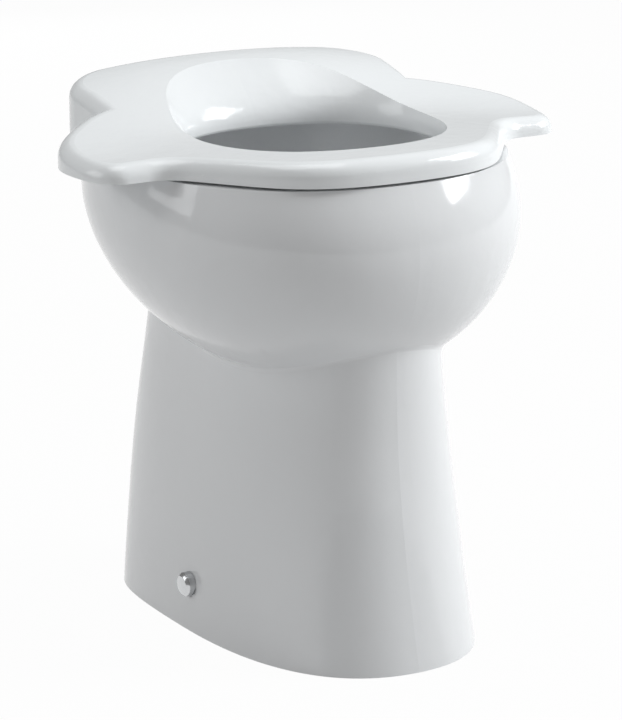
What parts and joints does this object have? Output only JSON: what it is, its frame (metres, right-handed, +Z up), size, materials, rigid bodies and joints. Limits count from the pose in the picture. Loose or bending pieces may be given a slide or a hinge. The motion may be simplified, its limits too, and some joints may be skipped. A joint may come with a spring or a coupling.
{
  "type": "floor-standing toilet",
  "caption": "Low children's floor-standing toilet: one-piece china pan on a flared hollow pedestal, with a hinged open-centre seat that has side grips and a raised dished back.",
  "frame": {"origin": "on the floor, midway between the two hidden floor brackets, at the centre of their four screw holes", "axes": "+Z up, +Y towards the back where the outlet and flush inlet are, +X towards the user's left when seated (the right side seen from the front)"},
  "size_m": [0.386, 0.356, 0.4005],
  "materials": {
    "china": "glossy white glaze on vitreous china",
    "seat": "gloss moulded plastic",
    "buffer": "soft matt",
    "rubber": "soft matt",
    "white_plastic": "satin moulded plastic",
    "hinge_metal": "satin stainless steel",
    "steel": "plain stainless steel",
    "zinc": "zinc-plated steel",
    "chrome": "bright chrome"
  },
  "bodies": {
    "pan_assembly": {"pan": "china", "hinge_post_left": "hinge_metal", "hinge_pin_left": "steel", "pin_caps_left": "white_plastic", "hinge_gasket_left": "rubber", "hinge_stud_left": "steel", "cone_washer_left": "rubber", "plate_washer_left": "steel", "wing_nut_left": "steel", "floor_bracket_left": "zinc", "screw_sleeve_left": "white_plastic", "side_screw_left": "steel", "side_cap_left": "chrome", "hinge_post_right": "hinge_metal", "hinge_pin_right": "steel", "pin_caps_right": "white_plastic", "hinge_gasket_right": "rubber", "hinge_stud_right": "steel", "cone_washer_right": "rubber", "plate_washer_right": "steel", "wing_nut_right": "steel", "floor_bracket_right": "zinc", "screw_sleeve_right": "white_plastic", "side_screw_right": "steel", "side_cap_right": "chrome"},
    "seat": {"seat_ring": "seat", "buffer_front_left": "buffer", "buffer_front_right": "buffer", "buffer_rear_left": "buffer", "buffer_rear_right": "buffer"}
  },
  "joints": [
    {"name": "seat_hinge", "type": "hinge", "parent": "pan_assembly", "child": "seat", "pos_m": [0, 0.169, 0.37], "axis": [-1, 0, 0], "range_deg": [0, 100]}
  ]
}
